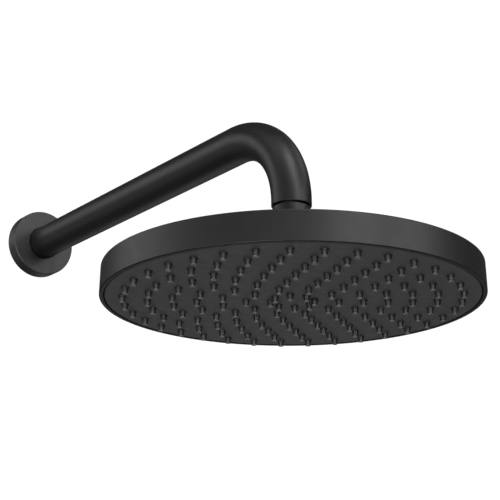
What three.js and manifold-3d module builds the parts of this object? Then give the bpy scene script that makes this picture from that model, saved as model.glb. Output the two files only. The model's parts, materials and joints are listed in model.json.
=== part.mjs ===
// Wall-mounted rain shower: a bent arm with a wall flange, and a round shower head on a ball joint.
// Millimetres, +Z up. The origin is the centre of the flange's back face, on the wall.
// The arm leaves the wall along -Y, bends down, and the head hangs level below its end.
import * as THREE from 'three';
import { mergeVertices } from 'three/addons/utils/BufferGeometryUtils.js';
import Module from 'manifold-3d';

const wasm = await Module();
wasm.setup();

// Driving dimensions
const GAP = 0.3; // air left between pieces that touch or screw together
const ARM_REACH = 325; // wall to head axis
const ARM_RADIUS = 12.5;
const ARM_WALL = 2;
const BEND_RADIUS = 55; // at the tube's centreline
const ARM_END_Z = -58; // lower end of the arm's leg
const FLANGE_RADIUS = 26;
const FLANGE_DEPTH = 11;
const HEAD_RADIUS = 115; // at the rim
const HEAD_TOP_RADIUS = 114.5; // the wall leans out a little towards the rim
const HEAD_TOP_Z = -99.5;
const HEAD_HEIGHT = 18;
const BALL_Z = -86; // centre of the ball joint
const BALL_RADIUS = 9.5;
const COLLAR_RADIUS = 11.7;
const THREAD_RADIUS = 10.2; // half inch pipe thread, at the crests
const WATERWAY_RADIUS = 3.6; // bore through the ball stem
const NOZZLE_STAND_OUT = 3.5; // below the housing's rim
const RING_PITCH = 14.7; // from one ring of nozzles to the next
const RING_SHIFT = -1.7; // added to each multiple of the pitch
const RING_COUNT = 7;
const NOZZLES_PER_PITCH = 5; // ring n holds 5 n nozzles
const INNER_RING_RADIUS = 13.2; // the innermost ring has its own count
const INNER_RING_NOZZLES = 8;
const NOZZLE_TURN = 34.7; // degrees from +X to the line where all the rings have a nozzle
const SCREW_COUNT = 6;
const SCREW_CIRCLE = 94;

// Facets
const BIG_SIDES = 48; // round pieces of the head
const FLANGE_SIDES = 32;
const SMALL_SIDES = 20; // round pieces of the arm and the joint
const NOZZLE_SIDES = 5;
const ARC_STEPS = 4; // points along a rounded or spherical stretch of a profile
const BEND_STEPS = 10;

const CUT_MARGIN = 1; // a cutting tool passes the surface by this much
const OVERLAP = 0.5; // joined solids share this much
const DEGREE = Math.PI / 180;

// Heights of the head's layers, from the top down
const RIM_Z = HEAD_TOP_Z - HEAD_HEIGHT;
const TOP_PLATE_Z = HEAD_TOP_Z - 2; // underside of the housing's top plate
const SOCKET_FLANGE_Z = TOP_PLATE_Z - GAP;
const SOCKET_FLANGE_BOTTOM_Z = SOCKET_FLANGE_Z - 2.5;
const COVER_TOP_Z = SOCKET_FLANGE_BOTTOM_Z - GAP;
const COVER_THICKNESS = 2;
const COVER_BOTTOM_Z = COVER_TOP_Z - COVER_THICKNESS;
const FACE_Z = RIM_Z + GAP; // the face plate lies just inside the rim
const FACE_THICKNESS = 2.4;
const FACE_BACK_Z = FACE_Z + FACE_THICKNESS;
const MAT_THICKNESS = 1.6;
const MAT_BOTTOM_Z = FACE_BACK_Z + GAP;
const MAT_TOP_Z = MAT_BOTTOM_Z + MAT_THICKNESS;
const TIP_Z = RIM_Z - NOZZLE_STAND_OUT;

// Radii of the head's layers
const HOUSING_INNER = HEAD_RADIUS - 2.6;
const FACE_RADIUS = HOUSING_INNER - 0.6; // a thin groove shows round the face plate
const COVER_RADIUS = 109;
const CHAMBER_RADIUS = 106.5; // inside of the cover's wall
const MAT_RADIUS = 105;
const NOZZLE_ROOT = 2.1;
const NOZZLE_TIP = 1.65;
const NOZZLE_HOLE = 2.5; // in the face plate
const BOSS_RADIUS = 2.8;
const SCREW_RADIUS = 1.25;
const SCREW_HEAD = 2.4;
const SCREW_HEAD_TOP = 1.92;

// Materials
function finish(color, roughness, metalness) {
  return new THREE.MeshStandardMaterial({ color, roughness, metalness });
}
const blackPaint = finish(0x2b2b2c, 0.5, 0.2);
const blackPlastic = finish(0x303031, 0.6, 0);
const blackSilicone = finish(0x232324, 0.7, 0);
const rubber = finish(0x191919, 0.85, 0);
const foam = finish(0x4a4a4a, 0.95, 0);
const brass = finish(0xb08d4a, 0.4, 0.9);
const steel = finish(0xa9abad, 0.35, 0.9);
const greyPlastic = finish(0x8c9094, 0.6, 0);
const whitePlastic = finish(0xe6e6e2, 0.55, 0);
const tape = finish(0xf2f2ef, 0.8, 0);

const shower = new THREE.Group();
const headAxis = new THREE.Group(); // origin on the head's axis, at the height of the wall axis
headAxis.position.set(0, -ARM_REACH, 0);
shower.add(headAxis);

function addPiece(parent, name, geometry, material) {
  const mesh = new THREE.Mesh(geometry, material);
  mesh.name = name;
  parent.add(mesh);
  return mesh;
}

// Outlines are lists of [radius, height] pairs, turned about +Z into a ring.
function turned(outline, sides) {
  const points = outline.map(([radius, height]) => new THREE.Vector2(radius, height));
  points.push(points[0].clone());
  if (THREE.ShapeUtils.isClockWise(points)) points.reverse();
  return new THREE.LatheGeometry(points, sides).rotateX(Math.PI / 2);
}

function tubeRing(inner, outer, low, high, sides) {
  return turned([[inner, low], [outer, low], [outer, high], [inner, high]], sides);
}

// Points along an arc of an outline, from one angle to another, in degrees above the horizontal
function arc(centreRadius, centreHeight, radius, from, to, steps = ARC_STEPS) {
  const points = [];
  for (let step = 0; step <= steps; step += 1) {
    const angle = (from + ((to - from) * step) / steps) * DEGREE;
    points.push([centreRadius + radius * Math.cos(angle), centreHeight + radius * Math.sin(angle)]);
  }
  return points;
}

const O_RING_STEPS = 5; // a hexagonal section

function oRing(ringRadius, height, sectionRadius, sides) {
  return turned(arc(ringRadius, height, sectionRadius, 0, 300, O_RING_STEPS), sides);
}

// The angle above the horizontal at which a sphere has a given distance from its vertical axis
function latitude(sphereRadius, axisDistance) {
  return Math.acos(axisDistance / sphereRadius) / DEGREE;
}

// Solids for joining and cutting
function toSolid(geometry) {
  const bare = geometry.clone();
  bare.deleteAttribute('normal');
  bare.deleteAttribute('uv');
  const merged = mergeVertices(bare);
  const vertProperties = merged.attributes.position.array;
  const triVerts = new Uint32Array(merged.index.array);
  return new wasm.Manifold(new wasm.Mesh({ numProp: 3, vertProperties, triVerts }));
}

function toGeometry(solid) {
  const mesh = solid.getMesh();
  const geometry = new THREE.BufferGeometry();
  geometry.setAttribute('position', new THREE.BufferAttribute(mesh.vertProperties, 3));
  geometry.setIndex(new THREE.BufferAttribute(mesh.triVerts, 1));
  geometry.computeVertexNormals();
  return geometry;
}

function cut(geometry, tools) {
  let solid = toSolid(geometry);
  for (const tool of tools) solid = solid.subtract(toSolid(tool));
  return toGeometry(solid);
}

function join(geometry, additions) {
  let solid = toSolid(geometry);
  for (const addition of additions) solid = solid.add(toSolid(addition));
  return toGeometry(solid);
}

// An upright rod between two heights, tapered if the radii differ, standing at a place in plan
function rod(place, lowRadius, highRadius, low, high, sides) {
  const geometry = new THREE.CylinderGeometry(highRadius, lowRadius, high - low, sides);
  return geometry.rotateX(Math.PI / 2).translate(place.x, place.y, (low + high) / 2);
}

function circlePlaces(radius, count, turn) {
  const places = [];
  for (let index = 0; index < count; index += 1) {
    const angle = turn * DEGREE + (index / count) * 2 * Math.PI;
    places.push(new THREE.Vector2(radius * Math.cos(angle), radius * Math.sin(angle)));
  }
  return places;
}

function nozzlePlaces() {
  const places = circlePlaces(INNER_RING_RADIUS, INNER_RING_NOZZLES, 0);
  for (let ring = 2; ring <= RING_COUNT; ring += 1) {
    const radius = ring * RING_PITCH + RING_SHIFT;
    places.push(...circlePlaces(radius, ring * NOZZLES_PER_PITCH, NOZZLE_TURN));
  }
  return places;
}
const nozzles = nozzlePlaces();
const screws = circlePlaces(SCREW_CIRCLE, SCREW_COUNT, 0);

// Wall end. These pieces are turned about +Z and then laid along the wall axis, +Z becoming +Y.
function alongWallAxis(geometry) {
  return geometry.rotateX(-Math.PI / 2);
}

const FLANGE_WALL = 2.4;
const FLANGE_EDGE = 1.2; // rounding of its front edge
const HUB_RADIUS = 17.2;
const HUB_BACK_Y = -2.5; // the hub stops short of the wall
const SEAL_GROOVE_RADIUS = 15.6;
const SEAL_GROOVE_BACK_Y = HUB_BACK_Y - 1;
const SEAL_GROOVE_FRONT_Y = HUB_BACK_Y - 4;

function wallFlange() {
  const bore = ARM_RADIUS + GAP;
  const skirt = FLANGE_RADIUS - FLANGE_WALL;
  const plateBack = -FLANGE_DEPTH + FLANGE_WALL;
  const outline = [
    [bore, -FLANGE_DEPTH],
    ...arc(FLANGE_RADIUS - FLANGE_EDGE, -FLANGE_DEPTH + FLANGE_EDGE, FLANGE_EDGE, -90, 0, 3),
    [FLANGE_RADIUS, 0],
    [skirt, 0],
    [skirt, plateBack],
    [HUB_RADIUS, plateBack],
    [HUB_RADIUS, HUB_BACK_Y],
    [bore, HUB_BACK_Y],
    [bore, SEAL_GROOVE_BACK_Y],
    [SEAL_GROOVE_RADIUS, SEAL_GROOVE_BACK_Y],
    [SEAL_GROOVE_RADIUS, SEAL_GROOVE_FRONT_Y],
    [bore, SEAL_GROOVE_FRONT_Y],
  ];
  return alongWallAxis(turned(outline, FLANGE_SIDES));
}
addPiece(shower, 'wall_flange', wallFlange(), blackPaint);

const FLANGE_SEAL_RING = ARM_RADIUS + 1.6;
const FLANGE_SEAL_SECTION = 1.15;
const FLANGE_SEAL_Y = (SEAL_GROOVE_BACK_Y + SEAL_GROOVE_FRONT_Y) / 2;
const flangeSeal = oRing(FLANGE_SEAL_RING, FLANGE_SEAL_Y, FLANGE_SEAL_SECTION, SMALL_SIDES);
addPiece(shower, 'flange_o_ring', alongWallAxis(flangeSeal), rubber);

const GASKET_INNER = HUB_RADIUS + 0.4;
const GASKET_OUTER = FLANGE_RADIUS - FLANGE_WALL - 0.4;
const GASKET_THICKNESS = 2;
const gasket = tubeRing(GASKET_INNER, GASKET_OUTER, -GASKET_THICKNESS, 0, SMALL_SIDES);
addPiece(shower, 'flange_wall_gasket', alongWallAxis(gasket), foam);

const NIPPLE_BORE = 7.5;
const NIPPLE_FRONT_Y = -20; // inside the arm
const NIPPLE_BACK_Y = 15; // inside the wall
const NIPPLE_CHAMFER = 1;

function wallNipple() {
  const outline = [
    [NIPPLE_BORE, NIPPLE_FRONT_Y],
    [THREAD_RADIUS, NIPPLE_FRONT_Y],
    [THREAD_RADIUS, NIPPLE_BACK_Y - NIPPLE_CHAMFER],
    [THREAD_RADIUS - NIPPLE_CHAMFER, NIPPLE_BACK_Y],
    [NIPPLE_BORE, NIPPLE_BACK_Y],
  ];
  return alongWallAxis(turned(outline, SMALL_SIDES));
}
addPiece(shower, 'wall_nipple', wallNipple(), brass);

const TAPE_THICKNESS = 0.6;
const TAPE_FRONT_Y = 4;
const TAPE_BACK_Y = 11;
const tapeInner = THREAD_RADIUS + GAP;
const tapeWrap = tubeRing(tapeInner, tapeInner + TAPE_THICKNESS, TAPE_FRONT_Y, TAPE_BACK_Y, SMALL_SIDES);
addPiece(shower, 'thread_seal_tape', alongWallAxis(tapeWrap), tape);

// The arm's centreline: straight from the wall, a quarter bend, and a short leg down.
// Its stations are close together only on the bend.
const BACK_END_Y = -0.5; // the tube stops just short of the wall
const BEND_START_Y = -(ARM_REACH - BEND_RADIUS);

class ArmCentreline extends THREE.Curve {
  getPointAt(fraction) {
    const station = Math.round(fraction * (BEND_STEPS + 2));
    if (station === 0) return new THREE.Vector3(0, BACK_END_Y, 0);
    if (station === BEND_STEPS + 2) return new THREE.Vector3(0, -ARM_REACH, ARM_END_Z);
    const turn = ((station - 1) / BEND_STEPS) * (Math.PI / 2);
    const forward = BEND_START_Y - BEND_RADIUS * Math.sin(turn);
    return new THREE.Vector3(0, forward, BEND_RADIUS * (Math.cos(turn) - 1));
  }

  getTangentAt(fraction) {
    const station = Math.round(fraction * (BEND_STEPS + 2));
    const turn = (THREE.MathUtils.clamp(station - 1, 0, BEND_STEPS) / BEND_STEPS) * (Math.PI / 2);
    return new THREE.Vector3(0, -Math.cos(turn), -Math.sin(turn));
  }
}

function polygon(shape, radius, sides) {
  for (let side = 0; side < sides; side += 1) {
    const angle = (side / sides) * 2 * Math.PI;
    const method = side === 0 ? 'moveTo' : 'lineTo';
    shape[method](radius * Math.cos(angle), radius * Math.sin(angle));
  }
  return shape;
}

function showerArm() {
  const section = polygon(new THREE.Shape(), ARM_RADIUS, SMALL_SIDES);
  section.holes.push(polygon(new THREE.Path(), ARM_RADIUS - ARM_WALL, SMALL_SIDES));
  const extrudePath = new ArmCentreline();
  return new THREE.ExtrudeGeometry(section, { steps: BEND_STEPS + 2, extrudePath });
}
addPiece(shower, 'shower_arm', showerArm(), blackPaint);

// Outlet end, on the head's axis
const NIPPLE_TOP_Z = ARM_END_Z + 6; // inside the arm's leg
const NIPPLE_END_Z = ARM_END_Z - 8;
const COLLAR_TOP_Z = ARM_END_Z - 0.9; // a thin dark gap shows between the arm and the collar
const COLLAR_FLOOR_Z = NIPPLE_END_Z - 2;
const REGULATOR_FLOOR_Z = COLLAR_FLOOR_Z - 2.6;
const COLLAR_BOTTOM_Z = REGULATOR_FLOOR_Z - 1.4;
const COLLAR_CHAMFER = 1;
const NECK_RADIUS = 5.5;
const REGULATOR_POCKET = 6.3;
const WASHER_BORE = 6.2;
const onAxis = new THREE.Vector2(0, 0);

const outletNipple = tubeRing(NIPPLE_BORE, THREAD_RADIUS, NIPPLE_END_Z, NIPPLE_TOP_Z, SMALL_SIDES);
addPiece(headAxis, 'outlet_nipple', outletNipple, blackPaint);

const washer = tubeRing(WASHER_BORE, THREAD_RADIUS, COLLAR_FLOOR_Z + GAP, NIPPLE_END_Z - GAP, SMALL_SIDES);
addPiece(headAxis, 'inlet_washer', washer, rubber);

// A round plate with small round holes through it
function perforatedDisc(radius, low, high, places, holeRadius, holeSides) {
  const disc = rod(onAxis, radius, radius, low, high, SMALL_SIDES);
  return cut(disc, places.map((place) => (
    rod(place, holeRadius, holeRadius, low - CUT_MARGIN, high + CUT_MARGIN, holeSides)
  )));
}

function filterScreen() {
  const radius = WASHER_BORE - 0.4;
  const low = COLLAR_FLOOR_Z + 0.6;
  const high = low + 0.5;
  const outerCircle = 3.9;
  const innerCircle = 1.4;
  const holes = [...circlePlaces(outerCircle, 6, 0), ...circlePlaces(innerCircle, 3, 0)];
  const holeRadius = 0.6;
  return perforatedDisc(radius, low, high, holes, holeRadius, 4);
}
addPiece(headAxis, 'filter_screen', filterScreen(), steel);

function flowRegulator() {
  const radius = REGULATOR_POCKET - GAP;
  const low = REGULATOR_FLOOR_Z + GAP;
  const high = COLLAR_FLOOR_Z - GAP;
  const holeCircle = 2.6;
  const holeRadius = 0.8;
  return perforatedDisc(radius, low, high, circlePlaces(holeCircle, 6, 0), holeRadius, 6);
}
addPiece(headAxis, 'flow_regulator', flowRegulator(), whitePlastic);

const BALL_MOUTH = WATERWAY_RADIUS + 0.9; // the bore flares where it leaves the ball
const NECK_TOP_Z = COLLAR_BOTTOM_Z - 1.2;

function ballConnector() {
  const neckAngle = latitude(BALL_RADIUS, NECK_RADIUS);
  const mouthAngle = latitude(BALL_RADIUS, BALL_MOUTH);
  const outline = [
    [THREAD_RADIUS + GAP, COLLAR_TOP_Z],
    [THREAD_RADIUS + GAP, COLLAR_FLOOR_Z],
    [REGULATOR_POCKET, COLLAR_FLOOR_Z],
    [REGULATOR_POCKET, REGULATOR_FLOOR_Z],
    [WATERWAY_RADIUS, REGULATOR_FLOOR_Z],
    [WATERWAY_RADIUS, BALL_Z - BALL_RADIUS * Math.sin(mouthAngle * DEGREE)],
    ...arc(0, BALL_Z, BALL_RADIUS, -mouthAngle, neckAngle, 2 * ARC_STEPS),
    [NECK_RADIUS, NECK_TOP_Z],
    [COLLAR_RADIUS - COLLAR_CHAMFER, COLLAR_BOTTOM_Z],
    [COLLAR_RADIUS, COLLAR_BOTTOM_Z + COLLAR_CHAMFER],
    [COLLAR_RADIUS, COLLAR_TOP_Z],
  ];
  return turned(outline, SMALL_SIDES);
}
addPiece(headAxis, 'ball_connector', ballConnector(), blackPaint);

// Two liners between the ball and its socket, each a zone of a thin spherical shell
// between two latitudes, in degrees above the ball's centre
const LINER_INNER = BALL_RADIUS + 0.35;
const LINER_OUTER = BALL_RADIUS + 1.4;

function ballLiner(lowest, highest) {
  const outline = [
    ...arc(0, BALL_Z, LINER_OUTER, lowest, highest),
    ...arc(0, BALL_Z, LINER_INNER, highest, lowest),
  ];
  return turned(outline, SMALL_SIDES);
}
addPiece(headAxis, 'ball_slip_ring', ballLiner(5, 38), whitePlastic);
addPiece(headAxis, 'ball_seat_seal', ballLiner(-54, -12), rubber);

// The screwed cap that holds the ball in the head's socket
const SOCKET_SPHERE = LINER_OUTER + 0.4;
const SOCKET_RADIUS = 13;
const CAP_RADIUS = 16;
const CAP_BOTTOM_Z = HEAD_TOP_Z + GAP;
const CAP_TOP_Z = BALL_Z + 8.6;
const CAP_MOUTH = 8.7;
const CAP_LIP = 0.7; // the mouth opens out by this much
const CAP_CROWN = CAP_MOUTH + 2;
const CAP_SHOULDER = CAP_RADIUS - 0.8;
const SPHERE_MARGIN = 2; // degrees between the joint's mid plane and the cap or the socket

function retainingCap() {
  const mouthAngle = latitude(SOCKET_SPHERE, CAP_MOUTH);
  const skirt = SOCKET_RADIUS + GAP;
  const outline = [
    [skirt, CAP_BOTTOM_Z],
    [skirt, BALL_Z + GAP],
    ...arc(0, BALL_Z, SOCKET_SPHERE, SPHERE_MARGIN, mouthAngle),
    [CAP_MOUTH + CAP_LIP, CAP_TOP_Z],
    [CAP_CROWN, CAP_TOP_Z],
    [CAP_SHOULDER, BALL_Z + 4],
    [CAP_RADIUS, BALL_Z + 3],
    [CAP_RADIUS, CAP_BOTTOM_Z],
  ];
  return turned(outline, SMALL_SIDES);
}
addPiece(headAxis, 'retaining_cap', retainingCap(), blackPaint);

const SOCKET_BORE = 6.2;
const SOCKET_TAIL = 10;
const SOCKET_END_Z = COVER_BOTTOM_Z - 4.3;
const SOCKET_FLANGE_RADIUS = 18;
const SOCKET_GROOVE_INNER = 13.6;
const SOCKET_GROOVE_OUTER = 16.4;
const SOCKET_GROOVE_Z = SOCKET_FLANGE_Z - 1.3;

function inletSocket() {
  const seatAngle = latitude(SOCKET_SPHERE, SOCKET_BORE);
  const outline = [
    [SOCKET_BORE, SOCKET_END_Z],
    ...arc(0, BALL_Z, SOCKET_SPHERE, -seatAngle, -SPHERE_MARGIN),
    [SOCKET_RADIUS, BALL_Z - GAP],
    [SOCKET_RADIUS, SOCKET_FLANGE_Z],
    [SOCKET_GROOVE_INNER, SOCKET_FLANGE_Z],
    [SOCKET_GROOVE_INNER, SOCKET_GROOVE_Z],
    [SOCKET_GROOVE_OUTER, SOCKET_GROOVE_Z],
    [SOCKET_GROOVE_OUTER, SOCKET_FLANGE_Z],
    [SOCKET_FLANGE_RADIUS, SOCKET_FLANGE_Z],
    [SOCKET_FLANGE_RADIUS, SOCKET_FLANGE_BOTTOM_Z],
    [SOCKET_TAIL, SOCKET_FLANGE_BOTTOM_Z],
    [SOCKET_TAIL, SOCKET_END_Z],
  ];
  return turned(outline, SMALL_SIDES);
}
addPiece(headAxis, 'inlet_socket', inletSocket(), brass);

const SOCKET_SEAL_RING = (SOCKET_GROOVE_INNER + SOCKET_GROOVE_OUTER) / 2;
const SOCKET_SEAL_SECTION = 0.7;
const SOCKET_SEAL_Z = SOCKET_FLANGE_Z - 0.45;
const socketSeal = oRing(SOCKET_SEAL_RING, SOCKET_SEAL_Z, SOCKET_SEAL_SECTION, SMALL_SIDES);
addPiece(headAxis, 'socket_o_ring', socketSeal, rubber);

// Head housing: a flat pan with a straight wall, open below, with a hole for the socket
const TOP_EDGE = 1.2; // rounding of the housing's upper edge
const RIM_EDGE = 0.8; // and of its lower edge

function headHousing() {
  const outline = [
    [SOCKET_RADIUS + GAP, TOP_PLATE_Z],
    [SOCKET_RADIUS + GAP, HEAD_TOP_Z],
    ...arc(HEAD_TOP_RADIUS - TOP_EDGE, HEAD_TOP_Z - TOP_EDGE, TOP_EDGE, 90, 0, 3),
    ...arc(HEAD_RADIUS - RIM_EDGE, RIM_Z + RIM_EDGE, RIM_EDGE, 0, -90, 2),
    [HOUSING_INNER, RIM_Z],
    [HOUSING_INNER, TOP_PLATE_Z],
  ];
  return turned(outline, BIG_SIDES);
}
addPiece(headAxis, 'head_housing', headHousing(), blackPaint);

// Chamber cover: closes the water chamber above the nozzle mat
const SEAL_TOP_Z = MAT_TOP_Z; // the seal is as thick as the mat

function chamberCover() {
  const outline = [
    [SOCKET_TAIL + GAP, COVER_BOTTOM_Z],
    [SOCKET_TAIL + GAP, COVER_TOP_Z],
    [COVER_RADIUS, COVER_TOP_Z],
    [COVER_RADIUS, SEAL_TOP_Z + GAP],
    [CHAMBER_RADIUS, SEAL_TOP_Z + GAP],
    [CHAMBER_RADIUS, COVER_BOTTOM_Z],
  ];
  const holeRadius = SCREW_RADIUS + GAP;
  const holes = screws.map((place) => (
    rod(place, holeRadius, holeRadius, COVER_BOTTOM_Z - CUT_MARGIN, COVER_TOP_Z + CUT_MARGIN, NOZZLE_SIDES)
  ));
  return cut(turned(outline, BIG_SIDES), holes);
}
addPiece(headAxis, 'chamber_cover', chamberCover(), greyPlastic);

const SEAL_INNER = CHAMBER_RADIUS + 0.2;
const chamberSeal = tubeRing(SEAL_INNER, COVER_RADIUS, MAT_BOTTOM_Z, SEAL_TOP_Z, BIG_SIDES);
addPiece(headAxis, 'chamber_seal', chamberSeal, rubber);

const TAIL_HOLE = SOCKET_TAIL + GAP;
const COVER_WASHER_RADIUS = 15;
const COVER_WASHER_TOP_Z = COVER_BOTTOM_Z - GAP;
const COVER_WASHER_BOTTOM_Z = COVER_WASHER_TOP_Z - 0.8;
const coverWasher = tubeRing(
  TAIL_HOLE, COVER_WASHER_RADIUS, COVER_WASHER_BOTTOM_Z, COVER_WASHER_TOP_Z, SMALL_SIDES,
);
addPiece(headAxis, 'cover_washer', coverWasher, rubber);

const NUT_CORNER_RADIUS = 15.6;
const NUT_DEPTH = 2.4;

function lockNut() {
  const shape = polygon(new THREE.Shape(), NUT_CORNER_RADIUS, 6);
  shape.holes.push(polygon(new THREE.Path(), TAIL_HOLE, SMALL_SIDES));
  const nut = new THREE.ExtrudeGeometry(shape, { depth: NUT_DEPTH, bevelEnabled: false });
  return nut.translate(0, 0, COVER_WASHER_BOTTOM_Z - GAP - NUT_DEPTH);
}
addPiece(headAxis, 'socket_lock_nut', lockNut(), brass);

// Nozzle mat: one soft sheet with every nozzle moulded on
function nozzleMat() {
  const sheet = rod(onAxis, MAT_RADIUS, MAT_RADIUS, MAT_BOTTOM_Z, MAT_TOP_Z, BIG_SIDES);
  const holeRadius = BOSS_RADIUS + GAP;
  const holes = screws.map((place) => (
    rod(place, holeRadius, holeRadius, MAT_BOTTOM_Z - CUT_MARGIN, MAT_TOP_Z + CUT_MARGIN, NOZZLE_SIDES)
  ));
  const tips = nozzles.map((place) => (
    rod(place, NOZZLE_TIP, NOZZLE_ROOT, TIP_Z, MAT_BOTTOM_Z + OVERLAP, NOZZLE_SIDES)
  ));
  return join(cut(sheet, holes), tips);
}
addPiece(headAxis, 'nozzle_mat', nozzleMat(), blackSilicone);

// Face plate: a hole for each nozzle, and a boss for each screw on its back
const BOSS_TOP_Z = COVER_BOTTOM_Z - GAP;
const PILOT_RADIUS = SCREW_RADIUS + GAP;
const PILOT_FLOOR_Z = FACE_BACK_Z + 0.4;

function facePlate() {
  const plate = rod(onAxis, FACE_RADIUS, FACE_RADIUS, FACE_Z, FACE_BACK_Z, BIG_SIDES);
  const bosses = screws.map((place) => (
    rod(place, BOSS_RADIUS, BOSS_RADIUS, FACE_BACK_Z - OVERLAP, BOSS_TOP_Z, NOZZLE_SIDES)
  ));
  const pilots = screws.map((place) => (
    rod(place, PILOT_RADIUS, PILOT_RADIUS, PILOT_FLOOR_Z, BOSS_TOP_Z + CUT_MARGIN, NOZZLE_SIDES)
  ));
  const holes = nozzles.map((place) => (
    rod(place, NOZZLE_HOLE, NOZZLE_HOLE, FACE_Z - CUT_MARGIN, FACE_BACK_Z + CUT_MARGIN, NOZZLE_SIDES)
  ));
  return cut(join(plate, bosses), pilots.concat(holes));
}
addPiece(headAxis, 'face_plate', facePlate(), blackPlastic);

// Screws that clamp the cover, the mat and the face plate together
const SCREW_SEAT_Z = COVER_TOP_Z + GAP;
const SCREW_END_Z = FACE_BACK_Z + 1.2;
const SCREW_HEAD_HEIGHT = 1.7;
const SCREW_HEAD_SIDES = 8;

function coverScrew(place) {
  const headTop = SCREW_SEAT_Z + SCREW_HEAD_HEIGHT;
  const head = rod(place, SCREW_HEAD, SCREW_HEAD_TOP, SCREW_SEAT_Z, headTop, SCREW_HEAD_SIDES);
  const shank = rod(place, SCREW_RADIUS, SCREW_RADIUS, SCREW_END_Z, SCREW_SEAT_Z + OVERLAP, NOZZLE_SIDES);
  return join(head, [shank]);
}
screws.forEach((place, index) => {
  addPiece(headAxis, `cover_screw_${index + 1}`, coverScrew(place), steel);
});

export default shower;
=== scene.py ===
"""Wall-mounted rain shower in satin black: fine surfaces, materials, soft studio light and the camera.

Metres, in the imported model's frame: the wall is the plane y = 0, the arm runs along -y, +z is up.
"""
import json
import math

import bmesh
import bpy
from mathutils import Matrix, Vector


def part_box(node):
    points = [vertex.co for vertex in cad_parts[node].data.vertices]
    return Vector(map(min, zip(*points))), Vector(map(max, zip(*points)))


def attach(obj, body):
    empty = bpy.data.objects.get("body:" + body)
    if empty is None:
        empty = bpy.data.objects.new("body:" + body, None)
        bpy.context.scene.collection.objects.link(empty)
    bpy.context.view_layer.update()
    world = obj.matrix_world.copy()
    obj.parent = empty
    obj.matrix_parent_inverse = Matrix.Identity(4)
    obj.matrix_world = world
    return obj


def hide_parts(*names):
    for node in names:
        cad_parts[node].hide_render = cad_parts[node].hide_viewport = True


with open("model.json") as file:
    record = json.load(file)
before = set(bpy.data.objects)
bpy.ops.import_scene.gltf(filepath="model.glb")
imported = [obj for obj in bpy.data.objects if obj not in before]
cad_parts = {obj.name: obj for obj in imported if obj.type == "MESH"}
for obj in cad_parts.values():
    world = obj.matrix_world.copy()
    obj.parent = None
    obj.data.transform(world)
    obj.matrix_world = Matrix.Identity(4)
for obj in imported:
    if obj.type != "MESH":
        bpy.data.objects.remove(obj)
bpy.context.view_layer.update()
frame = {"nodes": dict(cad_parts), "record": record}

MM = 0.001
GAP = 0.3 * MM  # clearance between pieces that meet
ROUND = 192  # sides of the large turned pieces
ROUND_SMALL = 96  # sides of the arm and the joint's pieces
FILLET_STEPS = 5  # segments of a rounded edge
MERGE_DISTANCE = 1e-7  # vertices closer than this are one
X, Y, Z = Vector((1, 0, 0)), Vector((0, 1, 0)), Vector((0, 0, 1))

# ---------------------------------------------------------------- measures from the frame

housing_low, housing_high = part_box("head_housing")
arm_low, arm_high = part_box("shower_arm")
flange_low, flange_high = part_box("wall_flange")
face_low, face_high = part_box("face_plate")
mat_low, mat_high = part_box("nozzle_mat")
collar_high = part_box("ball_connector")[1]
cap_low, cap_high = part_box("retaining_cap")
nipple_low, nipple_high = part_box("wall_nipple")
outlet_low, outlet_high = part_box("outlet_nipple")
gasket_low, gasket_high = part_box("flange_wall_gasket")
tape_low, tape_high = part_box("thread_seal_tape")

HEAD_AXIS = Vector((0, (housing_low.y + housing_high.y) / 2, 0))
HEAD_RADIUS = (housing_high.x - housing_low.x) / 2
HEAD_TOP = housing_high.z
RIM = housing_low.z
FACE_RADIUS = (face_high.x - face_low.x) / 2
FACE = face_low.z
TUBE_RADIUS = arm_high.x
TUBE_WALL = 2 * MM
TUBE_BORE = TUBE_RADIUS - TUBE_WALL
ARM_END = arm_low.z
BEND_RADIUS = 55 * MM
BALL = Vector(frame["record"]["behaviour"]["joints"][0]["pos_m"]).z
BALL_RADIUS = 9.5 * MM
NECK_RADIUS = 5.5 * MM
WATERWAY = 3.6 * MM

# Nozzles: an inner ring of eight, then rings of 10, 15, 20 and so on
RING_PITCH = 14.7 * MM
RING_SHIFT = -1.7 * MM
RING_COUNT = 7
NOZZLES_PER_PITCH = 5
INNER_RING_RADIUS = 13.2 * MM
INNER_RING_NOZZLES = 8
NOZZLE_TURN = math.radians(34.7)


# ---------------------------------------------------------------- materials

def shader(name):
    material = bpy.data.materials.new(name)
    material.use_nodes = True
    nodes = material.node_tree.nodes
    return material, nodes, material.node_tree.links, nodes["Principled BSDF"]


def noise(nodes, links, scale, detail):
    """A noise texture in the piece's own space, in features per metre."""
    where = nodes.new("ShaderNodeTexCoord")
    texture = nodes.new("ShaderNodeTexNoise")
    texture.inputs["Scale"].default_value = scale
    texture.inputs["Detail"].default_value = detail
    links.new(where.outputs["Object"], texture.inputs["Vector"])
    return texture


RAMP_LOW, RAMP_HIGH = 0.3, 0.7  # the middle range of a noise, where most of it lies


def ramp(nodes, links, source, low, high):
    """Maps a noise's middle range to two colours or two greys."""
    stops = nodes.new("ShaderNodeValToRGB")
    stops.color_ramp.elements[0].position = RAMP_LOW
    stops.color_ramp.elements[1].position = RAMP_HIGH
    stops.color_ramp.elements[0].color = low
    stops.color_ramp.elements[1].color = high
    links.new(source, stops.inputs["Fac"])
    return stops


def grey(value):
    return (value, value, value, 1)


COLOUR_DETAIL, WEAR_DETAIL, GRAIN_DETAIL = 4, 5, 3  # octaves of the three noises
WEAR_SCALE = 3  # the roughness is mottled this many times finer than the colour
BUMP_STRENGTH = 0.6


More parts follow.
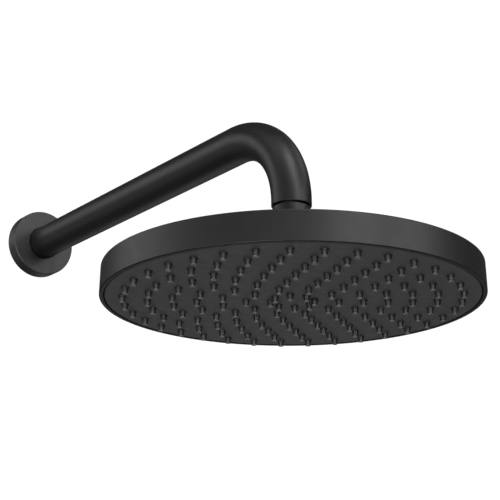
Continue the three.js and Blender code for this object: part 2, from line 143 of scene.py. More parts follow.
def surface(name, dark, light, rough, grain, depth, mottle=60, metallic=0.0, specular=0.5):
    """A finish with a mottled colour, a mottled roughness and a fine grain that stands out by depth.

    The grain and the mottle are in features per metre.
    """
    material, nodes, links, bsdf = shader(name)
    patches = noise(nodes, links, mottle, COLOUR_DETAIL)
    colour = ramp(nodes, links, patches.outputs["Fac"], dark, light)
    links.new(colour.outputs["Color"], bsdf.inputs["Base Color"])
    rubbing = noise(nodes, links, mottle * WEAR_SCALE, WEAR_DETAIL)
    wear = ramp(nodes, links, rubbing.outputs["Fac"], grey(rough[0]), grey(rough[1]))
    links.new(wear.outputs["Color"], bsdf.inputs["Roughness"])
    bump = nodes.new("ShaderNodeBump")
    bump.inputs["Strength"].default_value = BUMP_STRENGTH
    bump.inputs["Distance"].default_value = depth
    links.new(noise(nodes, links, grain, GRAIN_DETAIL).outputs["Fac"], bump.inputs["Height"])
    links.new(bump.outputs["Normal"], bsdf.inputs["Normal"])
    bsdf.inputs["Metallic"].default_value = metallic
    bsdf.inputs["Specular IOR Level"].default_value = specular
    return material


BLUE_TINT = 1.03  # the blacks are very slightly blue


def black(value):
    return (value, value, value * BLUE_TINT, 1)


COAT_ROUGHNESS = (0.40, 0.46)
COAT_GRAIN = 1800
COAT_DEPTH = 0.012 * MM
BRASS_DARK = (0.44, 0.27, 0.09, 1)
BRASS_LIGHT = (0.56, 0.36, 0.13, 1)

# each: name, darkest colour, lightest colour, roughness range, grain, its depth, mottle
paint = surface("satin_black_coat", black(0.0035), black(0.0045), COAT_ROUGHNESS, COAT_GRAIN, COAT_DEPTH)
shell = surface("satin_black_shell", black(0.005), black(0.006), COAT_ROUGHNESS, COAT_GRAIN, COAT_DEPTH)
# Painted light: a lighter, more reflective copy of the black coat for the flange, so that it reads more
# brightly lit.
lit_flange_coat = surface(
    "painted_light_flange", black(0.006), black(0.008), (0.42, 0.48), COAT_GRAIN, COAT_DEPTH, specular=0.8)
# Painted shade: a darker, less reflective copy of the shell coat for the rim lip, so that it reads shaded.
shaded_lip_coat = surface(
    "painted_shade_lip", black(0.004), black(0.005), (0.46, 0.52), COAT_GRAIN, COAT_DEPTH, specular=0.2)
face_finish = surface("matte_black_face", black(0.027), black(0.032), (0.56, 0.64), 2400, 0.014 * MM)
silicone = surface(
    "black_silicone", black(0.014), black(0.017), (0.27, 0.31), 3000, 0.0015 * MM, 200, specular=0.65)
seal_rubber = surface("seal_rubber", black(0.010), black(0.016), (0.55, 0.7), 1500, 0.02 * MM)
foam = surface("closed_cell_foam", black(0.03), black(0.06), (0.85, 0.95), 1400, 0.12 * MM, 700)
brass = surface("turned_brass", BRASS_DARK, BRASS_LIGHT, (0.26, 0.38), 900, 0.006 * MM, metallic=1.0)
steel = surface("plain_steel", grey(0.42), grey(0.5), (0.28, 0.4), 1200, 0.004 * MM, metallic=1.0)
grey_plastic = surface("grey_plastic", grey(0.16), grey(0.19), (0.45, 0.55), 1200, 0.01 * MM)
white_plastic = surface("white_acetal", grey(0.72), grey(0.78), (0.35, 0.45), 1200, 0.006 * MM)
seal_tape = surface("thread_seal_tape", grey(0.72), grey(0.86), (0.5, 0.65), 900, 0.05 * MM, 300)


def paint_tip_highlight(material, tip, full, none, colour):
    """Painted highlight on the nozzle ends: a lighter colour that stands in for the bright glint on the tips;
    it is full at one height above the tip, gone at the other.
    """
    nodes, links = material.node_tree.nodes, material.node_tree.links
    bsdf = nodes["Principled BSDF"]
    base = bsdf.inputs["Base Color"].links[0].from_socket
    where = nodes.new("ShaderNodeTexCoord")
    split = nodes.new("ShaderNodeSeparateXYZ")
    links.new(where.outputs["Object"], split.inputs["Vector"])
    fade = nodes.new("ShaderNodeMapRange")
    fade.interpolation_type = "SMOOTHSTEP"
    fade.inputs["From Min"].default_value = tip + full
    fade.inputs["From Max"].default_value = tip + none
    fade.inputs["To Min"].default_value = 1
    fade.inputs["To Max"].default_value = 0
    links.new(split.outputs["Z"], fade.inputs["Value"])
    mix = nodes.new("ShaderNodeMix")
    mix.data_type = "RGBA"
    links.new(fade.outputs["Result"], mix.inputs["Factor"])
    links.new(base, mix.inputs["A"])
    mix.inputs["B"].default_value = colour
    links.new(mix.outputs["Result"], bsdf.inputs["Base Color"])


# Painted highlight: the nozzle ends are lightened towards the tip to stand in for their bright glint.
TIP_HIGHLIGHT_GREY = 0.08
paint_tip_highlight(silicone, mat_low.z, 0.05 * MM, 0.9 * MM, black(TIP_HIGHLIGHT_GREY))


# ---------------------------------------------------------------- mesh tools

def quarter_turns():
    """The angles of a rounded edge, from 0 to a right angle."""
    return [math.pi / 2 * step / FILLET_STEPS for step in range(FILLET_STEPS + 1)]


def rounded(outline, closed=True):
    """Turns (radius, height, edge radius) corners into points, with an arc where the edge is rounded."""
    points = []
    for index, (radius, height, edge) in enumerate(outline):
        here = Vector((radius, height))
        at_end = not closed and index in (0, len(outline) - 1)
        if edge == 0 or at_end:
            points.append(here)
            continue
        before = Vector(outline[index - 1][:2])
        after = Vector(outline[(index + 1) % len(outline)][:2])
        back, on = (before - here).normalized(), (after - here).normalized()
        half = back.angle(on) / 2
        centre = here + (back + on).normalized() * edge / math.sin(half)
        start = here + back * edge / math.tan(half) - centre
        sweep = start.angle_signed(here + on * edge / math.tan(half) - centre)
        for step in range(FILLET_STEPS + 1):
            turn = -sweep * step / FILLET_STEPS
            cos, sin = math.cos(turn), math.sin(turn)
            points.append(centre + Vector((start.x * cos - start.y * sin, start.x * sin + start.y * cos)))
    return points


def arc(height, radius, start, end, steps):
    """Points of a sphere's outline about the axis, between two angles above the horizontal."""
    angles = [math.radians(start + (end - start) * step / steps) for step in range(steps + 1)]
    return [Vector((radius * math.cos(angle), height + radius * math.sin(angle))) for angle in angles]


def finish_mesh(name, bm, material, body, slot, *nodes, sharp=35):
    """Makes the piece, which rides on a body and stands for its CAD nodes.

    It is smooth but for the edges that bend more than sharp, in degrees.
    """
    bmesh.ops.remove_doubles(bm, verts=bm.verts, dist=MERGE_DISTANCE)
    bmesh.ops.recalc_face_normals(bm, faces=bm.faces)
    mesh = bpy.data.meshes.new(name)
    bm.to_mesh(mesh)
    bm.free()
    mesh.shade_smooth()
    mesh.set_sharp_from_angle(angle=math.radians(sharp))
    mesh.materials.append(material)
    piece = bpy.data.objects.new(name, mesh)
    bpy.context.scene.collection.objects.link(piece)
    weighted = piece.modifiers.new("flat_faces_stay_flat", "WEIGHTED_NORMAL")
    weighted.keep_sharp = True
    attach(piece, body)
    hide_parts(*nodes)
    return piece


def skin(bm, rings, closed):
    """Joins rings of vertices, each to the next, and the last to the first if closed."""
    pairs = list(zip(rings, rings[1:])) + ([(rings[-1], rings[0])] if closed else [])
    for ring, following in pairs:
        count = len(ring)
        for side in range(count):
            nxt = (side + 1) % count
            bm.faces.new((ring[side], ring[nxt], following[nxt], following[side]))


def ring_of(bm, centre, radius, first, second, sides):
    """A ring of vertices about a centre, in the plane of two unit vectors."""
    turns = [2 * math.pi * side / sides for side in range(sides)]
    return [bm.verts.new(centre + radius * (math.cos(t) * first + math.sin(t) * second)) for t in turns]


def turned(name, points, origin, axis, sides, *rest, **options):
    """A piece turned about an axis from a closed outline of (radius, distance along the axis)."""
    bm = bmesh.new()
    rings = [ring_of(bm, origin + axis * point.y, point.x, X, axis.cross(X), sides) for point in points]
    skin(bm, rings, True)
    return finish_mesh(name, bm, *rest, **options)


def circle_places(radius, count, turn):
    """Places evenly round the head's axis, from an angle on."""
    turns = [turn + 2 * math.pi * index / count for index in range(count)]
    return [Vector((radius * math.cos(t), radius * math.sin(t), 0)) for t in turns]


def nozzle_places():
    """The places of all nozzles, from the head's axis."""
    places = circle_places(INNER_RING_RADIUS, INNER_RING_NOZZLES, 0)
    for ring in range(2, RING_COUNT + 1):
        places += circle_places(ring * RING_PITCH + RING_SHIFT, ring * NOZZLES_PER_PITCH, NOZZLE_TURN)
    return places


def fill_flat(bm, outer, holes):
    """A flat face between an outer ring and the rings of its holes."""
    edges = []
    for ring in [outer] + holes:
        for side, vertex in enumerate(ring):
            pair = (vertex, ring[(side + 1) % len(ring)])
            edges.append(bm.edges.get(pair) or bm.edges.new(pair))
    bmesh.ops.triangle_fill(bm, use_beauty=True, use_dissolve=False, edges=edges)


# ---------------------------------------------------------------- camera

CAMERA_PLACE = Vector((-0.48408, -0.91616, -0.32952))
CAMERA_AZIMUTH = math.radians(-37.41)  # left of the object's front
CAMERA_ELEVATION = math.radians(-17.71)  # below it, looking up
LENS = 95.54  # mm
SENSOR_WIDTH = 36  # mm


def outwards(azimuth, elevation):
    """The direction from the object to a viewer or a light, -y being azimuth 0 and +x azimuth 90 degrees."""
    return Vector((
        math.sin(azimuth) * math.cos(elevation),
        -math.cos(azimuth) * math.cos(elevation),
        math.sin(elevation),
    ))


def place_facing(thing, place, back):
    """Puts a camera or a light at a place, looking along the opposite of back."""
    thing.location = place
    thing.rotation_mode = "QUATERNION"
    thing.rotation_quaternion = (-back).to_track_quat("-Z", "Y")
    bpy.context.scene.collection.objects.link(thing)


def make_camera():
    data = bpy.data.cameras.new("camera")
    data.sensor_width = SENSOR_WIDTH
    data.lens = LENS
    camera = bpy.data.objects.new("camera", data)
    place_facing(camera, CAMERA_PLACE, outwards(CAMERA_AZIMUTH, CAMERA_ELEVATION))
    bpy.context.scene.camera = camera


make_camera()


# ---------------------------------------------------------------- arm and flange

STRAIGHT_STEPS = 12
BEND_STEPS = 64
ARM_EDGE = 0.5 * MM  # rounding of the tube's outlet end


def arm_stations():
    """Places along the arm's centre line, from the wall to the bend's end, each with the turn so far."""
    bend_start = HEAD_AXIS.y + BEND_RADIUS
    back_y = arm_high.y
    stations = []
    for step in range(STRAIGHT_STEPS):
        stations.append((Vector((0, back_y + (bend_start - back_y) * step / STRAIGHT_STEPS, 0)), 0.0))
    for step in range(BEND_STEPS + 1):
        turn = math.pi / 2 * step / BEND_STEPS
        place = Vector((0, bend_start - BEND_RADIUS * math.sin(turn), BEND_RADIUS * (math.cos(turn) - 1)))
        stations.append((place, turn))
    return stations


def make_arm():
    """The bent tube: rings along its outside, round its outlet end, and back along its bore."""
    stations = arm_stations()
    end = Vector((0, HEAD_AXIS.y, ARM_END))
    bm = bmesh.new()

    def ring(place, turn, radius):
        inward = Vector((0, math.sin(turn), -math.cos(turn)))
        return ring_of(bm, place, radius, X, inward, ROUND_SMALL)

    down = math.pi / 2
    rings = [ring(place, turn, TUBE_RADIUS) for place, turn in stations]
    for angle in quarter_turns():
        height = Z * ARM_EDGE * (1 - math.sin(angle))
        rings.append(ring(end + height, down, TUBE_RADIUS - ARM_EDGE + ARM_EDGE * math.cos(angle)))
    for angle in reversed(quarter_turns()):
        height = Z * ARM_EDGE * (1 - math.sin(angle))
        rings.append(ring(end + height, down, TUBE_BORE + ARM_EDGE - ARM_EDGE * math.cos(angle)))
    rings += [ring(place, turn, TUBE_BORE) for place, turn in reversed(stations)]
    skin(bm, rings, True)
    return finish_mesh("arm_tube", bm, paint, "arm", "black_paint", "shower_arm")


make_arm()

FLANGE_RADIUS = flange_high.x
FLANGE_FRONT = flange_low.y
FLANGE_BORE = TUBE_RADIUS + GAP
FLANGE_WALL = 2.4 * MM
HUB_RADIUS = 17.2 * MM
HUB_BACK = -2.5 * MM
SEAL_GROOVE_RADIUS = 15.6 * MM
SEAL_GROOVE_BACK = -3.5 * MM
SEAL_GROOVE_FRONT = -6.5 * MM
flange_outline = rounded([
    (FLANGE_BORE, FLANGE_FRONT, 0.3 * MM),
    (FLANGE_RADIUS, FLANGE_FRONT, 0.9 * MM),
    (FLANGE_RADIUS, 0, 0.3 * MM),
    (FLANGE_RADIUS - FLANGE_WALL, 0, 0.3 * MM),
    (FLANGE_RADIUS - FLANGE_WALL, FLANGE_FRONT + FLANGE_WALL, 1 * MM),
    (HUB_RADIUS, FLANGE_FRONT + FLANGE_WALL, 1 * MM),
    (HUB_RADIUS, HUB_BACK, 0.3 * MM),
    (FLANGE_BORE, HUB_BACK, 0.2 * MM),
    (FLANGE_BORE, SEAL_GROOVE_BACK, 0.1 * MM),
    (SEAL_GROOVE_RADIUS, SEAL_GROOVE_BACK, 0.2 * MM),
    (SEAL_GROOVE_RADIUS, SEAL_GROOVE_FRONT, 0.2 * MM),
    (FLANGE_BORE, SEAL_GROOVE_FRONT, 0.1 * MM),
])
# Painted light: the flange wears the lighter, more reflective copy of the black coat.
turned(
    "wall_flange_disc", flange_outline, Vector(), Y, ROUND, lit_flange_coat, "arm", "black_paint", "wall_flange")

SEAL_SIDES = 24
SEAL_PLAY = 0.02 * MM  # between the ring and the groove, and the ring and the arm
SEAL_FLATTENING = 0.9  # the ring's section is squeezed along the arm
seal_section = (SEAL_GROOVE_RADIUS - TUBE_RADIUS) / 2 - SEAL_PLAY
seal_centre = Vector(((SEAL_GROOVE_RADIUS + TUBE_RADIUS) / 2, (SEAL_GROOVE_BACK + SEAL_GROOVE_FRONT) / 2))
seal_outline = []
for side in range(SEAL_SIDES):
    turn = 2 * math.pi * side / SEAL_SIDES
    around = Vector((math.cos(turn), math.sin(turn) * SEAL_FLATTENING))
    seal_outline.append(seal_centre + seal_section * around)
turned(
    "flange_seal_ring", seal_outline, Vector(), Y, ROUND_SMALL, seal_rubber, "arm", "rubber", "flange_o_ring")

GASKET_BORE = 17.6 * MM
GASKET_EDGE = 0.3 * MM
gasket_outline = rounded([
    (GASKET_BORE, gasket_low.y, GASKET_EDGE),
    (gasket_high.x, gasket_low.y, GASKET_EDGE),
    (gasket_high.x, gasket_high.y, GASKET_EDGE),
    (GASKET_BORE, gasket_high.y, GASKET_EDGE),
])
turned("wall_gasket", gasket_outline, Vector(), Y, ROUND_SMALL, foam, "arm", "foam", "flange_wall_gasket")

NIPPLE_BORE = 7.5 * MM
NIPPLE_CHAMFER = 0.8 * MM
THREAD_DEPTH = 0.9 * MM
THREAD_PITCH = 1.8 * MM
THREAD_RUN_IN = 1.5 * MM  # over which the thread fades out at both ends
ROWS_PER_TURN = 8


def make_wall_nipple():
    """The pipe nipple with its helical thread, on the arm's axis."""
    bm = bmesh.new()
    low, high, crest = nipple_low.y, nipple_high.y, nipple_high.x
    second = Y.cross(X)
    rows = int((high - low) / THREAD_PITCH * ROWS_PER_TURN)
    grid = []
    for row in range(rows + 1):
        along = low + (high - low) * row / rows
        fade = min(1, max(0, (along - low) / THREAD_RUN_IN), max(0, (high - along) / THREAD_RUN_IN))
        line = []
        for side in range(ROUND_SMALL):
            turn = 2 * math.pi * side / ROUND_SMALL
            phase = (along / THREAD_PITCH - side / ROUND_SMALL) % 1
            tooth = 1 - abs(2 * phase - 1)
            radius = crest - THREAD_DEPTH * (1 - tooth * fade)
            line.append(bm.verts.new(Y * along + radius * (math.cos(turn) * X + math.sin(turn) * second)))
        grid.append(line)
    mouth = ring_of(bm, Y * high, NIPPLE_BORE + NIPPLE_CHAMFER, X, second, ROUND_SMALL)
    inner_mouth = ring_of(bm, Y * (high - NIPPLE_CHAMFER), NIPPLE_BORE, X, second, ROUND_SMALL)
    inner_end = ring_of(bm, Y * low, NIPPLE_BORE, X, second, ROUND_SMALL)
    skin(bm, grid + [mouth, inner_mouth, inner_end], True)
    return finish_mesh("threaded_wall_nipple", bm, brass, "arm", "brass", "wall_nipple", sharp=50)


make_wall_nipple()

TAPE_WRAPS = 9
TAPE_STEP = 0.12 * MM  # every second edge of the wraps stands this much lower
TAPE_BORE = 10.4 * MM
tape_outline = []
for wrap in range(TAPE_WRAPS + 1):
    along = tape_low.y + (tape_high.y - tape_low.y) * wrap / TAPE_WRAPS
    tape_outline.append(Vector((tape_high.x - TAPE_STEP * (wrap % 2), along)))
tape_outline += [Vector((TAPE_BORE, tape_high.y)), Vector((TAPE_BORE, tape_low.y))]
turned(
    "seal_tape_wrap", tape_outline, Vector(), Y, ROUND_SMALL, seal_tape, "arm", "seal_tape",
    "thread_seal_tape", sharp=60)


# ---------------------------------------------------------------- outlet, collar and ball

OUTLET_EDGE = 0.2 * MM
outlet_outline = rounded([
    (NIPPLE_BORE, outlet_low.z, OUTLET_EDGE),
    (outlet_high.x, outlet_low.z, OUTLET_EDGE),
    (outlet_high.x, outlet_high.z, OUTLET_EDGE),
    (NIPPLE_BORE, outlet_high.z, OUTLET_EDGE),
])
turned(
    "outlet_insert", outlet_outline, HEAD_AXIS, Z, ROUND_SMALL, paint, "arm", "black_paint", "outlet_nipple")

COLLAR_RADIUS = collar_high.x
COLLAR_TOP = collar_high.z
THREAD_BORE = 10.5 * MM
COLLAR_FLOOR = outlet_low.z - 2 * MM
POCKET = 6.3 * MM
POCKET_FLOOR = COLLAR_FLOOR - 2.6 * MM
COLLAR_BOTTOM = POCKET_FLOOR - 1.4 * MM
BALL_MOUTH = WATERWAY + 0.9 * MM
BALL_STEPS = 40


def angle_at(radius, sphere):
    """The angle above a sphere's middle, in degrees, at which its outline has a radius."""
    return math.degrees(math.acos(radius / sphere))


def make_ball_connector():
    """The collar over the outlet's thread, the neck below it, and the hollow ball."""
    neck_angle = angle_at(NECK_RADIUS, BALL_RADIUS)
    mouth_angle = angle_at(BALL_MOUTH, BALL_RADIUS)
    upper = rounded([
        (NECK_RADIUS, BALL + BALL_RADIUS * math.sin(math.radians(neck_angle)), 0),
        (NECK_RADIUS, COLLAR_BOTTOM - 1.2 * MM, 0.6 * MM),
        (COLLAR_RADIUS - 1 * MM, COLLAR_BOTTOM, 0.3 * MM),
        (COLLAR_RADIUS, COLLAR_BOTTOM + 1 * MM, 0.5 * MM),
        (COLLAR_RADIUS, COLLAR_TOP, 0.35 * MM),
        (THREAD_BORE, COLLAR_TOP, 0.35 * MM),
        (THREAD_BORE, COLLAR_FLOOR, 0),
        (POCKET, COLLAR_FLOOR, 0.2 * MM),
        (POCKET, POCKET_FLOOR, 0),
        (WATERWAY, POCKET_FLOOR, 0.2 * MM),
        (WATERWAY, BALL - BALL_RADIUS * math.sin(math.radians(mouth_angle)), 0),
    ], closed=False)
    ball = arc(BALL, BALL_RADIUS, -mouth_angle, neck_angle, BALL_STEPS)[:-1]
    return turned(
        "collar_and_ball", upper + ball, HEAD_AXIS, Z, ROUND_SMALL, paint, "arm", "black_paint",
        "ball_connector")


make_ball_connector()


# ---------------------------------------------------------------- head

SOCKET_RADIUS = 13 * MM
SOCKET_SPHERE = BALL_RADIUS + 1.8 * MM
CAP_RADIUS = cap_high.x
CAP_MOUTH = 8.7 * MM
CAP_TOP = cap_high.z
CAP_BORE = SOCKET_RADIUS + GAP
CAP_START_ANGLE = 2  # degrees above the ball's middle, where the cap's hollow begins
CAP_STEPS = 16
SKIRT_STEPS = 18
GRIPS = 24
GRIP_DEPTH = 0.45 * MM
GRIP_FADE = 1.2 * MM
SIDES_PER_GRIP = 8
GRIP_LOW = cap_low.z + 2 * MM
GRIP_HIGH = BALL - 0.5 * MM
SKIRT_LOW = GRIP_LOW - 1 * MM
SKIRT_HIGH = GRIP_HIGH + 1 * MM


def cap_outline():
    """The cap's outline: up its hollow, over its crown and down its skirt."""
    hollow = [Vector((CAP_BORE, cap_low.z)), Vector((CAP_BORE, BALL + GAP))]
    hollow += arc(BALL, SOCKET_SPHERE, CAP_START_ANGLE, angle_at(CAP_MOUTH, SOCKET_SPHERE), CAP_STEPS)
    # The first and last corners only aim the crown's ends, and are dropped
    crown = rounded([
        (CAP_MOUTH, CAP_TOP - 1.3 * MM, 0),
        (CAP_MOUTH + 0.7 * MM, CAP_TOP, 0.3 * MM),
        (CAP_MOUTH + 2 * MM, CAP_TOP, 0.8 * MM),
        (CAP_RADIUS - 0.8 * MM, BALL + 4 * MM, 1.5 * MM),
        (CAP_RADIUS, BALL + 2.2 * MM, 1 * MM),
        (CAP_RADIUS, cap_low.z, 0.3 * MM),
        (CAP_BORE, cap_low.z, 0),
    ], closed=False)[1:-1]
    skirt = []
    for step in range(SKIRT_STEPS + 1):
        skirt.append(Vector((CAP_RADIUS, SKIRT_HIGH - (SKIRT_HIGH - SKIRT_LOW) * step / SKIRT_STEPS)))
    above = [point for point in crown if point.y > SKIRT_HIGH]
    below = [point for point in crown if point.y < SKIRT_LOW]
    return hollow + above + skirt + below


def make_cap():
    """The screwed cap over the ball, with shallow grips round its skirt."""
    bm = bmesh.new()
    sides = GRIPS * SIDES_PER_GRIP
    rings = []
    for point in cap_outline():
        ring = ring_of(bm, HEAD_AXIS + Z * point.y, point.x, X, Y, sides)
        if abs(point.x - CAP_RADIUS) < MERGE_DISTANCE and GRIP_LOW < point.y < GRIP_HIGH:
            ramp_up = min(1, (point.y - GRIP_LOW) / GRIP_FADE, (GRIP_HIGH - point.y) / GRIP_FADE)
            for side, vertex in enumerate(ring):
                wave = 0.5 + 0.5 * math.cos(2 * math.pi * side / SIDES_PER_GRIP)
                outward = Vector((vertex.co.x - HEAD_AXIS.x, vertex.co.y - HEAD_AXIS.y, 0)).normalized()
                vertex.co -= outward * GRIP_DEPTH * ramp_up * wave ** 2
        rings.append(ring)
    skin(bm, rings, True)
    return finish_mesh("retaining_cap_ring", bm, paint, "head", "black_paint", "retaining_cap")


make_cap()

DRAFT = 0.5 * MM  # the side wall leans in by this much towards the top
RIM_BAND = 2.6 * MM
SHELL_WALL = 2 * MM
housing_outline = rounded([
    (CAP_BORE, HEAD_TOP, 0.2 * MM),
    (HEAD_RADIUS - DRAFT, HEAD_TOP, 0.9 * MM),
    (HEAD_RADIUS, RIM, 0.7 * MM),
    (HEAD_RADIUS - RIM_BAND, RIM, 0.5 * MM),
    (HEAD_RADIUS - RIM_BAND, HEAD_TOP - SHELL_WALL, 1 * MM),
    (CAP_BORE, HEAD_TOP - SHELL_WALL, 0.2 * MM),
])
head_shell = turned(
    "head_shell", housing_outline, HEAD_AXIS, Z, ROUND, shell, "head", "black_shell", "head_housing")

LIP_HEIGHT = 0.9 * MM
LIP_SLOPE = -0.15  # the lip is where the rim's surface looks down by more than this
# Painted shade: the faces of the rim that look down get the darker, duller copy of the shell coat.
head_shell.data.materials.append(shaded_lip_coat)
for polygon in head_shell.data.polygons:
    if polygon.center.z < RIM + LIP_HEIGHT and polygon.normal.z < LIP_SLOPE:
        polygon.material_index = 1

FACE_THICKNESS = 2.4 * MM
FACE_EDGE = 0.5 * MM
NOZZLE_HOLE = 2.5 * MM
NOZZLE_HOLE_EDGE = 0.22 * MM
HOLE_SIDES = 24


def make_face_plate():
    """The inset plate: a rounded edge, and a hole with a soft edge for each nozzle."""
    bm = bmesh.new()
    back = FACE + FACE_THICKNESS

    def ring(place, radius, height, sides):
        return ring_of(bm, place + Z * height, radius, X, Y, sides)

    rim = []
    for turn in quarter_turns():
        radius = FACE_RADIUS - FACE_EDGE + FACE_EDGE * math.sin(turn)
        rim.append(ring(HEAD_AXIS, radius, FACE + FACE_EDGE * (1 - math.cos(turn)), ROUND))
    rim.append(ring(HEAD_AXIS, FACE_RADIUS, back, ROUND))
    skin(bm, rim, False)
    hole_turns = quarter_turns()[::2] + quarter_turns()[-1:]  # every second one is enough here
    front_holes, back_holes = [], []
    for place in nozzle_places():
        where = HEAD_AXIS + place
        walls = []
        for turn in hole_turns:
            radius = NOZZLE_HOLE + NOZZLE_HOLE_EDGE * (1 - math.sin(turn))
            walls.append(ring(where, radius, FACE + NOZZLE_HOLE_EDGE * (1 - math.cos(turn)), HOLE_SIDES))
        walls.append(ring(where, NOZZLE_HOLE, back, HOLE_SIDES))
        skin(bm, walls, False)
        front_holes.append(walls[0])
        back_holes.append(walls[-1])
    fill_flat(bm, rim[0], front_holes)
    fill_flat(bm, rim[-1], back_holes)
    return finish_mesh("spray_face", bm, face_finish, "head", "black_face", "face_plate")


make_face_plate()

NOZZLE_BORE = 0.7 * MM
NOZZLE_BORE_LENGTH = 2.5 * MM
NOZZLE_INLET = 1.0 * MM  # the bore widens to this at the back of the sheet


def make_nozzle_mat():
    """The soft sheet and its nozzles: a tapered peg with a bore, moulded on at every place."""
    bm = bmesh.new()
    sheet_low = FACE + FACE_THICKNESS + GAP
    sheet_high = mat_high.z
    tip = mat_low.z
    # Root, face plate's level, waist, tip, then up the bore
    peg = rounded([
        (2.25 * MM, sheet_low, 0),
        (2.15 * MM, FACE, 0),
        (1.75 * MM, tip + 1.2 * MM, 1.5 * MM),
        (1.65 * MM, tip, 0.35 * MM),
        (NOZZLE_BORE, tip, 0.1 * MM),
        (NOZZLE_BORE, tip + NOZZLE_BORE_LENGTH, 0),
        (NOZZLE_INLET, sheet_high, 0),
    ], closed=False)
    low_rim = ring_of(bm, HEAD_AXIS + Z * sheet_low, mat_high.x, X, Y, ROUND)
    high_rim = ring_of(bm, HEAD_AXIS + Z * sheet_high, mat_high.x, X, Y, ROUND)
    skin(bm, [low_rim, high_rim], False)
    low_holes, high_holes = [], []
    for place in nozzle_places():
        rings = [ring_of(bm, HEAD_AXIS + place + Z * point.y, point.x, X, Y, HOLE_SIDES) for point in peg]
        skin(bm, rings, False)
        low_holes.append(rings[0])
        high_holes.append(rings[-1])
    fill_flat(bm, low_rim, low_holes)
    fill_flat(bm, high_rim, high_holes)
    return finish_mesh("silicone_nozzles", bm, silicone, "head", "black_silicone", "nozzle_mat")


make_nozzle_mat()


# ---------------------------------------------------------------- finishes of the hidden CAD pieces

CAD_FINISH = {
    seal_rubber: ["inlet_washer", "ball_seat_seal", "socket_o_ring", "chamber_seal", "cover_washer"],
    brass: ["inlet_socket", "socket_lock_nut"],
    steel: ["filter_screen"] + [name for name in frame["nodes"] if name.startswith("cover_screw")],
    grey_plastic: ["chamber_cover"],
    white_plastic: ["flow_regulator", "ball_slip_ring"],
}
for material, names in CAD_FINISH.items():
    for name in names:
        for material_slot in frame["nodes"][name].material_slots:
            material_slot.material = material


# ---------------------------------------------------------------- studio

AIM = Vector((0, HEAD_AXIS.y * 0.75, HEAD_TOP * 0.7))  # between the arm's bend and the head
BOX_DISTANCE = 1.8
WORLD_STRENGTH = 0.07


def soft_box(name, azimuth, elevation, width, height, power):
    """A soft light that looks at the object from an azimuth and an elevation, in degrees."""
    data = bpy.data.lights.new(name, "AREA")
    data.shape = "RECTANGLE"
    data.size = width
    data.size_y = height
    data.energy = power
    light = bpy.data.objects.new(name, data)
    light.visible_camera = False
    back = outwards(math.radians(azimuth), math.radians(elevation))
    place_facing(light, AIM + back * BOX_DISTANCE, back)


SOFT_BOXES = (
    # name, azimuth, elevation, width, height, power
    ("low_left_box", -62, -22, 0.8, 0.8, 19),
    ("low_middle_box", -37, -2, 0.6, 0.4, 2.0),
    ("low_front_box", -10, -16, 0.8, 0.8, 9.5),
    ("deep_below_box", -20, -80, 0.9, 0.9, 1),
    ("front_box", -3, 23, 0.7, 0.7, 6.4),
    ("right_box", 27, 15, 0.7, 0.7, 4.4),
    ("flange_box", 42, 20, 0.7, 0.7, 1),
    ("top_right_box", 68, 46, 0.8, 0.8, 2.4),
    ("top_front_box", -14, 53, 0.8, 0.8, 11),
    ("top_left_box", -60, 58, 0.8, 0.8, 2),
    ("left_top_box", -100, 52, 0.8, 0.8, 1.8),
    ("left_side_box", -88, 8, 0.7, 0.8, 1),
    ("left_back_box", -110, 11, 0.7, 0.8, 2),
    ("left_wall_box", -128, 15, 0.7, 0.8, 2),
    ("wall_side_box", -145, 21, 0.7, 0.8, 2.1),
    ("low_wall_box", -145, -14, 0.8, 0.8, 0.8),
    ("low_back_box", 143, -18, 0.8, 0.8, 0.5),
    ("deep_back_box", 141, -48, 0.8, 0.8, 2.2),
    ("low_side_box", 100, -30, 0.8, 0.8, 1.4),
)
for box in SOFT_BOXES:
    soft_box(*box)


def make_world():
    world = bpy.data.worlds.new("studio")
    world.use_nodes = True
    background = world.node_tree.nodes["Background"]
    background.inputs["Color"].default_value = grey(1)
    background.inputs["Strength"].default_value = WORLD_STRENGTH
    bpy.context.scene.world = world


make_world()

FLOOR_Z = -1.4
FLOOR_RADIUS = 8.5
DOME_RADIUS = 9
FADE_START, FADE_END = 0.5, 5.1  # from the floor's middle
FLOOR_GREY = 0.80  # under the object
WHITE = 1.05  # the dome, and the floor from the fade's end on
FLOOR_SIDES = 96
DOME_SUBDIVISIONS = 5


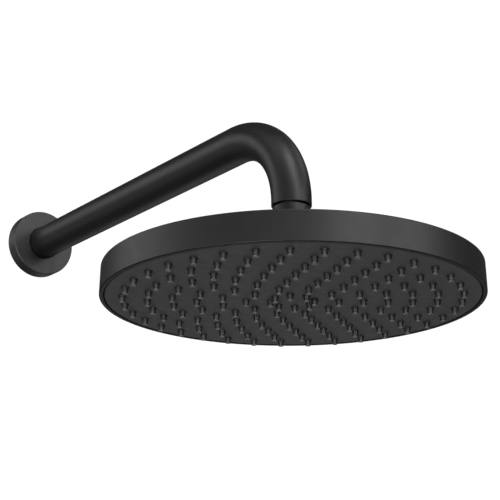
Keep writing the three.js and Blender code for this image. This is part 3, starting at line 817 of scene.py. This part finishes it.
def glow_material(name):
    """A surface that shines by itself, so that the soft boxes leave no patches on it."""
    material, nodes, links, bsdf = shader(name)
    glow = nodes.new("ShaderNodeEmission")
    links.new(glow.outputs["Emission"], nodes["Material Output"].inputs["Surface"])
    nodes.remove(bsdf)
    return material, nodes, links, glow


def dome_white():
    material, _, _, glow = glow_material("backdrop_white")
    glow.inputs["Strength"].default_value = WHITE
    return material


def floor_pale():
    """Pale grey under the object, brightening outwards to the dome's white."""
    material, nodes, links, glow = glow_material("pale_floor")
    where = nodes.new("ShaderNodeTexCoord")
    distance = nodes.new("ShaderNodeVectorMath")
    distance.operation = "LENGTH"
    links.new(where.outputs["Object"], distance.inputs[0])
    fade = nodes.new("ShaderNodeMapRange")
    fade.interpolation_type = "SMOOTHSTEP"
    fade.inputs["From Min"].default_value = FADE_START
    fade.inputs["From Max"].default_value = FADE_END
    fade.inputs["To Min"].default_value = FLOOR_GREY
    fade.inputs["To Max"].default_value = WHITE
    links.new(distance.outputs["Value"], fade.inputs["Value"])
    links.new(fade.outputs["Result"], glow.inputs["Strength"])
    return material


def make_backdrop():
    """A white dome and a pale floor, seen by the camera only, so that they cast nothing on the object."""
    dome = bmesh.new()
    bmesh.ops.create_icosphere(dome, subdivisions=DOME_SUBDIVISIONS, radius=DOME_RADIUS)
    floor = bmesh.new()
    bmesh.ops.create_circle(floor, cap_ends=True, segments=FLOOR_SIDES, radius=FLOOR_RADIUS)
    for name, bm, material, height in (
        ("backdrop_dome", dome, dome_white(), 0),
        ("pale_floor", floor, floor_pale(), FLOOR_Z),
    ):
        mesh = bpy.data.meshes.new(name)
        bm.to_mesh(mesh)
        bm.free()
        mesh.shade_smooth()
        mesh.materials.append(material)
        thing = bpy.data.objects.new(name, mesh)
        thing.location.z = height
        thing.visible_diffuse = False
        thing.visible_glossy = False
        thing.visible_transmission = False
        thing.visible_shadow = False
        bpy.context.scene.collection.objects.link(thing)


make_backdrop()
bpy.context.scene.view_settings.view_transform = "Standard"
